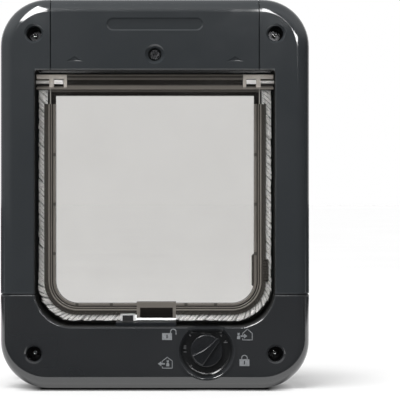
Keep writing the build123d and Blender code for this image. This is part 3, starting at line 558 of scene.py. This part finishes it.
def brush_path(side_x, end_x, top, bottom):
    """Points and outward ways along the pile's tip line, from the brush's start to its end."""
    turn = TIP_CORNER
    side = math.copysign(1, side_x)
    centre = Vector((side_x - side * turn, 0, bottom + turn))
    points = []
    for z in np.arange(top, bottom + turn, -TUFT_PITCH):
        points.append((Vector((side_x, 0, z)), Vector((side, 0, 0))))
    steps = round(turn * math.pi / 2 / TUFT_PITCH)
    for step in range(steps):
        angle = math.pi / 2 * step / steps
        way = Vector((side * math.cos(angle), 0, -math.sin(angle)))
        points.append((centre + way * turn, way))
    for x in np.arange(centre.x, end_x, -side * TUFT_PITCH):
        points.append((Vector((x, 0, bottom)), Vector((0, 0, -1))))
    return points if side < 0 else points[::-1]


def make_brush(name, side_x, end_x):
    """One brush: every tuft is a bundle of thin bent fibres that lean back along the strip."""
    low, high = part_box(name)
    middle = (low.y + high.y) / 2
    depth = (high.y - low.y) / 2
    path = brush_path(side_x, end_x, high.z - PILE_TOP_GAP, low.z)
    carried = len(path)
    # two more tufts past the end, whose leaning tips fill it
    step = path[-1][0] - path[-2][0]
    path += [(path[-1][0] + step * extra, path[-1][1]) for extra in (1, 2)]
    vertices = []
    faces = []
    tints = []

    def inside(point, flare=0.0):
        """The point, held in the brush's box, which a flare opens to the front."""
        return (
            min(max(point.x, low.x), high.x),
            min(max(point.y, low.y - flare), high.y),
            min(max(point.z, low.z), high.z),
        )

    def fibre_tube(spine, along, radius, flare):
        """Tube along a spine of three points, closed at its tip."""
        first = len(vertices)
        for place, thick in zip(spine, FIBRE_TAPER):
            for corner in range(FIBRE_SIDES):
                angle = corner * 2 * math.pi / FIBRE_SIDES
                offset = along * math.cos(angle) + Vector((0, 1, 0)) * math.sin(angle)
                vertices.append(inside(place + offset * radius * thick, flare))
        for ring in range(first, first + 2 * FIBRE_SIDES, FIBRE_SIDES):
            for corner in range(FIBRE_SIDES):
                a = ring + corner
                b = ring + (corner + 1) % FIBRE_SIDES
                faces.append((a, b, b + FIBRE_SIDES, a + FIBRE_SIDES))
        faces.append(tuple(range(first + 2 * FIBRE_SIDES, first + 3 * FIBRE_SIDES)))

    def tint_new_faces(tint):
        tints.extend([tint] * (len(faces) - len(tints)))

    for index, (tip, way) in enumerate(path):
        before = path[max(index - 1, 0)][0]
        after = path[min(index + 1, len(path) - 1)][0]
        along = (after - before).normalized()
        lower = way.z < LOWER_WAY
        edge = LOWER_TUFT_EDGE if lower else TUFT_EDGE
        flare = FLARE * max(-way.z, 0.0)
        for row in TUFT_ROWS:
            shift = along * rng.normal(0, TUFT_SHIFT) * TUFT_PITCH
            root = tip - way * PILE_LENGTH + shift + Vector((0, middle + row * depth, 0))
            lean = LEAN + rng.normal(0, LEAN_SPREAD)
            tall = rng.uniform(*TUFT_TALL)
            pale = rng.uniform(*TUFT_PALE)
            for _ in range(TUFT_FIBRES):
                across = rng.normal(0, FIBRE_ALONG)
                start = root + along * across * MM + Vector((0, rng.normal(0, FIBRE_ACROSS) * MM, 0))
                reach = way * PILE_LENGTH * tall * rng.uniform(*FIBRE_TALL)
                back = (lean + rng.normal(0, FIBRE_LEAN_SPREAD)) * PILE_LENGTH
                swing = along * (-back + across * FIBRE_FAN * MM)
                splay = rng.normal(row * FIBRE_SPLAY, FIBRE_SPLAY_SPREAD) * MM
                spread = Vector((0, splay - flare, 0))
                bend = start + reach * FIBRE_BEND[0] + swing * FIBRE_BEND[1] + spread * FIBRE_BEND[2]
                spine = (start, bend, start + reach + swing + spread)
                turned = -along if lower and reach.x + swing.x < 0 else along
                fibre_tube(spine, turned, rng.uniform(*FIBRE_RADIUS) * MM, flare)
                chance = rng.uniform()
                # painted shade: fibres at a tuft's edge are dark; strays are dark at random
                if abs(across) > edge or chance > STRAY_CHANCE:
                    tint_new_faces(DARK)
                else:
                    tint_new_faces(PALE if chance < pale else PLAIN)
    # carrier that the tufts are set in
    rail = []
    for tip, way in path[:carried]:
        outer = tip - way * (PILE_LENGTH - CARRIER_HEIGHT)
        inner = tip - way * PILE_LENGTH
        rail.append(len(vertices))
        for place, side in ((outer, -1), (outer, 1), (inner, 1), (inner, -1)):
            vertices.append(inside(Vector((place.x, middle + side * CARRIER_HALF, place.z))))
    for a, b in zip(rail, rail[1:]):
        for corner in range(4):
            other = (corner + 1) % 4
            faces.append((a + corner, a + other, b + other, b + corner))
    faces.append(tuple(rail[0] + corner for corner in range(4)))
    faces.append(tuple(rail[-1] + corner for corner in range(4)))
    tint_new_faces(DARK)
    made = piece(name + "_pile", vertices, faces, "brush_fibre", "flap")
    made.data.materials.append(pale_fibre)
    made.data.materials.append(dark_fibre)
    made.data.polygons.foreach_set("material_index", tints)
    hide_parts(name)


left_low, left_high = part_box("brush_left")
right_low, right_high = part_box("brush_right")
make_brush("brush_left", left_low.x, left_high.x)
make_brush("brush_right", right_high.x, right_low.x)


# Catch springs: copies of the springs' meshes, held on the frame
for catch in ("in_catch", "out_catch"):
    coil = bpy.data.objects.new(catch + "_coil", frame["nodes"][catch + "_spring"].data.copy())
    scene.collection.objects.link(coil)
    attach(coil, "frame")
    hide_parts(catch + "_spring")
    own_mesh(coil)


# Printed signs beside the dial, and the small raised marks in its dish
def print_ink(name, dark, light):
    """Grey ink with slightly uneven cover."""
    shader = Shader(name)
    shader.colour(dark, light, scale=900)
    shader.roughness(low=0.4, high=0.55, scale=500)
    shader.bump(shader.noise(scale=1500), strength=0.1, depth=0.02 * MM)
    return shader.material


# in millimetres: the cover's front and the ink on it, the dish's floor and the marks on it
FRONT, INK_HEIGHT = 38.5, 0.06
DISH_FLOOR, MARK_HEIGHT = 35.5, 0.14
ink = print_ink("print_ink", (0.16, 0.17, 0.18), (0.24, 0.25, 0.26))
faint_ink = print_ink("faint_ink", (0.05, 0.052, 0.054), (0.08, 0.082, 0.084))


class Sign:
    """Flat shapes in millimetres round a middle, X to the right and Z up, at a level before the origin."""

    LINE_OVERLAP = 0.3  # each run of a line goes on past its ends by this share of its width

    def __init__(self, x, z, level=FRONT, height=INK_HEIGHT):
        self.x = x
        self.z = z
        self.level = level
        self.height = height
        self.vertices = []
        self.faces = []

    def outline(self, points):
        """Plate with this outline, given anticlockwise as seen from the room."""
        first = len(self.vertices)
        count = len(points)
        for lift in (0, self.height):
            for x, z in points:
                self.vertices.append(((self.x + x) * MM, -(self.level + lift) * MM, (self.z + z) * MM))
        self.faces.append(tuple(first + count + i for i in range(count)))
        self.faces.append(tuple(first + count - 1 - i for i in range(count)))
        for i in range(count):
            j = (i + 1) % count
            self.faces.append((first + i, first + j, first + count + j, first + count + i))

    def box(self, x0, z0, x1, z1):
        self.outline([(x0, z0), (x1, z0), (x1, z1), (x0, z1)])

    def disc(self, x, z, radius, count=20):
        turns = [2 * math.pi * i / count for i in range(count)]
        self.outline([(x + radius * math.cos(t), z + radius * math.sin(t)) for t in turns])

    def line(self, points, width):
        """Stroke along a line of points, one plate for each run."""
        for (x0, z0), (x1, z1) in zip(points, points[1:]):
            length = math.hypot(x1 - x0, z1 - z0)
            ox = -(z1 - z0) / length * width / 2
            oz = (x1 - x0) / length * width / 2
            ex = (x1 - x0) / length * width * self.LINE_OVERLAP
            ez = (z1 - z0) / length * width * self.LINE_OVERLAP
            self.outline(
                [
                    (x0 - ex - ox, z0 - ez - oz),
                    (x1 + ex - ox, z1 + ez - oz),
                    (x1 + ex + ox, z1 + ez + oz),
                    (x0 - ex + ox, z0 - ez + oz),
                ]
            )

    def arc(self, x, z, radius, start, end, width, count=12):
        """Stroke along an arc, as one closed plate."""
        turns = [math.radians(start + (end - start) * i / count) for i in range(count + 1)]
        wide, narrow = radius + width / 2, radius - width / 2
        outer = [(x + wide * math.cos(t), z + wide * math.sin(t)) for t in turns]
        inner = [(x + narrow * math.cos(t), z + narrow * math.sin(t)) for t in turns]
        self.outline(outer + inner[::-1])

    def done(self, name, look=ink):
        piece(name, self.vertices, self.faces, "slate_plastic", "frame", look)


def padlock(name, x, z, closed):
    """Padlock with a keyhole: its body, and a shackle that is shut or swung open to the right."""
    half_width, half_height = 3.3, 2.3
    keyhole, keyhole_top, keyhole_foot = 0.35, 1.3, -1.2
    shackle, stroke, arch, arm = 1.85, 0.6, 3.1, 2.2
    centre = 0 if closed else 4.2
    free_arm = arm if closed else 1.5
    sign = Sign(x, z)
    sign.box(-half_width, -half_height, -keyhole, half_height)
    sign.box(keyhole, -half_height, half_width, half_height)
    sign.box(-keyhole, keyhole_top, keyhole, half_height)
    sign.box(-keyhole, -half_height, keyhole, keyhole_foot)
    sign.arc(centre, arch, shackle, 0, 180, stroke)
    sign.line([(centre - shackle, arch), (centre - shackle, arm)], stroke)
    sign.line([(centre + shackle, arch), (centre + shackle, free_arm)], stroke)
    sign.done(name)


def house(sign, x, half, eaves, low=-3.1, ridge=4.2, gap=0.9, stroke=0.5):
    """House outline with its left wall broken where the arrow passes."""
    sign.line([(x + half, eaves), (x + half, low), (x - half, low)], stroke)
    sign.line([(x - half, eaves), (x, ridge), (x + half, eaves)], stroke)
    sign.line([(x - half, low), (x - half, low + gap)], stroke)
    sign.line([(x - half, eaves), (x - half, eaves - gap)], stroke)


def pet(sign, x, z, size=1.25):
    """Sitting animal: round head with two ears over a rounded body."""
    sign.disc(x, z + 1.15 * size, 0.62 * size)
    for side in (-1, 1):
        ear = [(side * 0.6, 1.35), (side * 0.55, 2.05), (side * 0.1, 1.65)]
        sign.outline([(x + px * size, z + pz * size) for px, pz in ear[::side]])
    body = [(-0.8, -1.5), (0.8, -1.5), (0.85, -0.6), (0.55, 0.4), (-0.55, 0.4), (-0.85, -0.6)]
    sign.outline([(x + px * size, z + pz * size) for px, pz in body])


def arrow(sign, tail, tip, z, head, width=1.0):
    """Straight arrow along X."""
    way = math.copysign(1, tip - tail)
    neck = tip - way * head
    barb = head * 0.75
    sign.line([(tail, z), (neck, z)], width)
    points = [(neck, z - barb), (tip, z), (neck, z + barb)]
    sign.outline(points if way > 0 else points[::-1])


padlock("sign_unlocked", 8.2, 35.3, closed=False)
padlock("sign_locked", 60.1, 17.8, closed=True)

out_sign = Sign(7.0, 17.2)
house(out_sign, 1.4, half=3.3, eaves=1.7)
pet(out_sign, 1.7, 0.0)
arrow(out_sign, tail=-0.5, tip=-4.9, z=-0.2, head=2.3)
out_sign.done("sign_out")

in_sign = Sign(59.8, 36.1)
house(in_sign, 2.3, half=3.2, eaves=1.3)
pet(in_sign, -3.6, -0.65)
arrow(in_sign, tail=-2.0, tip=2.2, z=-0.5, head=2.2)
in_sign.done("sign_in")

MARK_DOT = 0.55
MARK_DOTS = ((-10.9, 10.1), (9.9, 10.1), (-10.2, -10.1))
MARK_BARS = (
    (-15.6, -1.1, -13.4, -0.6),
    (-15.4, 1.2, -13.6, 1.7),
    (-15.4, 2.1, -13.6, 2.6),
    (-15.4, 3.0, -13.6, 3.5),
    (11.6, 5.1, 14.2, 5.8),
    (12.4, 6.3, 13.4, 6.7),
)
marks = Sign(*DIAL, DISH_FLOOR, MARK_HEIGHT)
for x, z in MARK_DOTS:
    marks.disc(x, z, MARK_DOT)
for corners in MARK_BARS:
    marks.box(*corners)
marks.done("dial_marks", faint_ink)


# Bright collars round the sockets in the fixing screws' heads: radius and Y from the head's front, in mm
COLLAR_PROFILE = ((1.3, 0.0), (1.3, -4.0), (1.15, -4.4), (0.85, -4.4), (0.7, -4.0), (0.7, 0.0))
COLLAR_SIDES = 28
SCREW_X = 0.0811
SCREW_HEIGHTS = (0.0235, 0.2385)


def collar(name, x, y, z):
    """Raised collar with a bevelled front rim, open at its back."""
    section = len(COLLAR_PROFILE)
    total = COLLAR_SIDES * section
    vertices = []
    faces = []
    for i in range(COLLAR_SIDES):
        turn = 2 * math.pi * i / COLLAR_SIDES
        for radius, forward in COLLAR_PROFILE:
            out = radius * MM
            vertices.append((x + out * math.cos(turn), y + forward * MM, z + out * math.sin(turn)))
        for j in range(section - 1):
            a, b = i * section + j, i * section + j + 1
            faces.append((a, b, (b + section) % total, (a + section) % total))
    made = piece(name, vertices, faces, "bright_steel", "frame", socket_look)
    made.data.polygons.foreach_set("use_smooth", [True] * len(faces))


screw_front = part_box("fixing_screws")[0].y
screw_places = [(x, z) for z in SCREW_HEIGHTS for x in (-SCREW_X, SCREW_X)]
for number, (x, z) in enumerate(screw_places, 1):
    collar("screw_socket_%d" % number, x, screw_front, z)


# Bright lip of the strike along the foot of the magnet's pocket: its face slopes up into the light
STRIKE_LIP_LEFT = -0.0126
STRIKE_LIP_FOOT = 45.8 * MM
STRIKE_LIP_TOP = STRIKE_LIP_FOOT + 1.1 * MM
STRIKE_LIP_DEPTH = 0.3 * MM
lip_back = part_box("flap_bezel")[0].y
lip_section = (
    (lip_back, STRIKE_LIP_FOOT),
    (lip_back - STRIKE_LIP_DEPTH, STRIKE_LIP_FOOT),
    (lip_back, STRIKE_LIP_TOP),
)
piece(
    "strike_lip",
    [(x, y, z) for x in (STRIKE_LIP_LEFT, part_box("strike_plate")[1].x) for y, z in lip_section],
    [(0, 1, 2), (5, 4, 3), (0, 3, 4, 1), (1, 4, 5, 2), (2, 5, 3, 0)],
    "bright_steel",
    "flap",
    strike_look,
)


# Studio: white where it is seen, an even soft light, and in gloss darker where the front faces mirror it
AMBIENT = 0.44
world = bpy.data.worlds.new("studio")
world.use_nodes = True
scene.world = world
world.node_tree.nodes.clear()
sky = Nodes(world.node_tree)


def sky_ramp(value, start, end, low, high):
    return sky.ranged(value, low, high, start, end, interpolation_type="SMOOTHSTEP")


sky_rays = sky.node("ShaderNodeLightPath").outputs
sky_way = sky.axes(sky.node("ShaderNodeTexCoord").outputs["Generated"])
overhead = sky.both(
    sky_ramp(sky_way["Z"], start=0.06, end=0.55, low=0.03, high=0.54),
    sky_ramp(sky_way["Z"], start=0.6, end=1.0, low=1.0, high=0.7),
)
backdrop = sky.both(
    sky_ramp(sky_way["Y"], start=0.4, end=0.8, low=0.0, high=0.8),
    sky_ramp(sky_way["Y"], start=0.92, end=0.98, low=1.0, high=0.01),
)
left_wall = sky_ramp(sky_way["X"], start=-0.9, end=-0.1, low=0.22, high=0.0)
mirrored = sky.math("MAXIMUM", sky.math("MAXIMUM", overhead, backdrop), left_wall)
glossy = sky_rays["Is Glossy Ray"]
soft = sky.both(sky.math("SUBTRACT", 1.0, glossy), AMBIENT)
level = sky.math("ADD", sky.both(glossy, mirrored), soft)
shown = sky.math("MAXIMUM", sky_rays["Is Camera Ray"], sky_rays["Is Transmission Ray"])
background = sky.node("ShaderNodeBackground")
background.inputs["Color"].default_value = (1, 1, 1, 1)
sky.link(sky.math("MAXIMUM", shown, level), background.inputs["Strength"])
sky.link(background.outputs[0], sky.node("ShaderNodeOutputWorld").inputs["Surface"])


def lamp(name, kind, energy, matrix, **settings):
    """Lamp that lights the object but isn't mirrored in its gloss."""
    data = bpy.data.lights.new(name, kind)
    data.energy = energy
    for key, value in settings.items():
        setattr(data, key, value)
    made = bpy.data.objects.new(name, data)
    made.matrix_world = matrix
    made.visible_camera = False
    made.visible_glossy = False
    made.visible_transmission = False
    scene.collection.objects.link(made)


# Key lamp: a tall panel at the upper left, given by the way back from the object and its long side
KEY_SIZE = (0.62, 2.0)
KEY_RADIANCE = 3.7
KEY_PLACE = (-0.486, -0.814, 1.068)
key_back = Vector((-0.3286, -0.5827, 0.7434))
key_tall = Vector((-0.1351, 0.8115, 0.5686))
key_tall = (key_tall - key_back * key_tall.dot(key_back)).normalized()
key_turn = Matrix((key_tall.cross(key_back), key_tall, key_back)).transposed().to_4x4()
key_energy = KEY_RADIANCE * math.pi * KEY_SIZE[0] * KEY_SIZE[1]
key_matrix = Matrix.Translation(KEY_PLACE) @ key_turn
lamp("key", "AREA", key_energy, key_matrix, shape="RECTANGLE", size=KEY_SIZE[0], size_y=KEY_SIZE[1])

# Top light: wide and soft, from nearly overhead
TOP_STRENGTH = 3.0
TOP_ANGLE = 24
top_turn = Vector((-0.13, -0.2, 0.97)).to_track_quat("Z", "Y").to_matrix().to_4x4()
lamp("top", "SUN", TOP_STRENGTH, top_turn, angle=math.radians(TOP_ANGLE))


def glow(name, radiance):
    """Even white glow, a little softer in places as a lamp's cloth is."""
    shader = Shader(name)
    shader.colour((0.0, 0.0, 0.0), (0.002, 0.002, 0.002), scale=2)
    shader.set(Emission_Color=(1, 1, 1, 1))
    shader.feed("Emission Strength", shader.ranged(shader.noise(scale=1.5), 0.95 * radiance, radiance))
    return shader.material


CARD_DISTANCE = 1.2


def glow_card(name, corner, edges, radiance):
    """Lit card seen only in gloss: pairs of ways from a corner of the front to its near and far edge."""
    vertices = [Vector(corner) + CARD_DISTANCE * Vector(way) for pair in edges for way in pair]
    faces = [(i, i + 1, i + 3, i + 2) for i in range(0, len(vertices) - 2, 2)]
    mesh = bpy.data.meshes.new(name)
    mesh.from_pydata(vertices, [], faces)
    mesh.materials.append(glow(name, radiance))
    made = bpy.data.objects.new(name, mesh)
    scene.collection.objects.link(made)
    made.visible_camera = False
    made.visible_diffuse = False
    made.visible_transmission = False
    made.visible_shadow = False


glow_card(
    "key_card",
    corner=(-0.085, -0.038, 0.248),
    edges=(
        ((-0.09, -0.985, 0.13), (-0.08, -0.985, 0.13)),
        ((-0.373, -0.853, 0.365), (-0.068, -0.867, 0.494)),
        ((-0.397, -0.741, 0.542), (-0.12, -0.72, 0.68)),
        ((-0.362, -0.577, 0.732), (-0.18, -0.56, 0.8)),
        ((-0.262, -0.339, 0.904), (-0.255, -0.339, 0.904)),
    ),
    radiance=19.0,
)
glow_card(
    "rim_card",
    corner=(0.085, -0.038, 0.248),
    edges=(
        ((0.045, -0.99, 0.13), (0.037, -0.923, 0.383)),
        ((0.055, -0.99, 0.13), (0.049, -0.883, 0.467)),
        ((0.07, -0.99, 0.13), (0.076, -0.793, 0.604)),
        ((0.1, -0.987, 0.13), (0.126, -0.959, 0.254)),
        ((0.15, -0.983, 0.11), (0.183, -0.968, 0.169)),
        ((0.3, -0.95, 0.09), (0.431, -0.886, 0.171)),
    ),
    radiance=18.0,
)


# Floor: distances in metres from the part's middle, where an edge starts and ends
FLOOR_X = (-30, 30)
FLOOR_Y = (-6, 40)
CONTACT_REACH = 0.016
CONTACT_POWER = 7.0
CONTACT_SIDE = (0.076, 0.094)
# painted shade: the glow is weaker within these distances of the object
NEAR_EDGE = (0.1, 0.17)
NEAR_GLOW, FAR_GLOW = 0.4, 0.525
DIFFUSE_SHARE = 0.05
STRIP_START = (0.031, 0.037)
STRIP_END = (0.06, 0.063)
SHEET_START = (0.085, 0.1)
SHEET_END = (0.66, 0.8)
SHEET_REACH = (0.85, 1.1)
SHEET_FRONT = (-0.063, -0.06)
SHEET_GLOW = 1.5


def floor_look():
    """White paper with a painted contact shadow where the object rests on it, mirrored only close around
    the object.
    """
    shader = Shader("floor")
    axes = shader.axes(shader.place)
    rays = shader.node("ShaderNodeLightPath").outputs
    aside = shader.math("ABSOLUTE", axes["X"])
    off = shader.math("ABSOLUTE", axes["Y"])
    measure = shader.node("ShaderNodeVectorMath", operation="LENGTH")
    shader.link(shader.place, measure.inputs[0])
    away = measure.outputs["Value"]
    # paper, with a painted contact shadow close to the object's foot where ambient occlusion is deep
    contact = shader.node("ShaderNodeAmbientOcclusion", samples=8)
    contact.inputs["Distance"].default_value = CONTACT_REACH
    near = shader.math("SUBTRACT", 1.0, shader.math("POWER", contact.outputs["AO"], CONTACT_POWER))
    under = shader.both(near, shader.falling(aside, *CONTACT_SIDE))
    open_share = shader.math("SUBTRACT", 1.0, under)
    paper = shader.drifting((0.33, 0.33, 0.33), (0.35, 0.35, 0.35), scale=3)
    shader.feed("Base Color", shader.mixed(open_share, (0, 0, 0), paper))
    shader.roughness(low=0.85, high=0.95, scale=20)
    # glow that makes it white where it is seen, and that hardly lights the object; it is weaker near the
    # object, painted shade round its foot, and gone in the painted contact shadow
    shader.set(Specular_IOR_Level=0.0, Emission_Color=(1, 1, 1, 1))
    held = shader.both(shader.ranged(away, NEAR_GLOW, FAR_GLOW, *NEAR_EDGE), open_share)
    seen = shader.blend(rays["Is Diffuse Ray"], 1.0, DIFFUSE_SHARE)
    shader.feed("Emission Strength", shader.both(held, seen))
    # in gloss: pale strips under the lower edges, and sheets to both sides behind the front
    strips = shader.both(
        shader.ranged(off, 0.2, SHEET_GLOW, *STRIP_START),
        shader.ranged(off, 1.0, 0.02, *STRIP_END),
    )
    beside = shader.both(shader.rising(aside, *SHEET_START), shader.falling(aside, *SHEET_END))
    reach = shader.both(
        shader.ranged(away, SHEET_GLOW, 0.0, *SHEET_REACH),
        shader.rising(axes["Y"], *SHEET_FRONT),
    )
    mirrored = shader.node("ShaderNodeEmission")
    shader.link(shader.math("MAXIMUM", strips, shader.both(beside, reach)), mirrored.inputs["Strength"])
    choice = shader.node("ShaderNodeMixShader")
    shader.link(shader.both(rays["Is Glossy Ray"], rays["Is Reflection Ray"]), choice.inputs[0])
    shader.link(shader.surface.outputs[0], choice.inputs[1])
    shader.link(mirrored.outputs[0], choice.inputs[2])
    shader.link(choice.outputs[0], shader.tree.nodes["Material Output"].inputs["Surface"])
    return shader.material


floor_mesh = bpy.data.meshes.new("floor")
floor_corners = [(FLOOR_X[i], FLOOR_Y[j], 0) for i, j in ((0, 0), (1, 0), (1, 1), (0, 1))]
floor_mesh.from_pydata(floor_corners, [], [(0, 1, 2, 3)])
floor = bpy.data.objects.new("floor", floor_mesh)
scene.collection.objects.link(floor)
floor_mesh.materials.append(floor_look())

scene.view_settings.view_transform = "Standard"
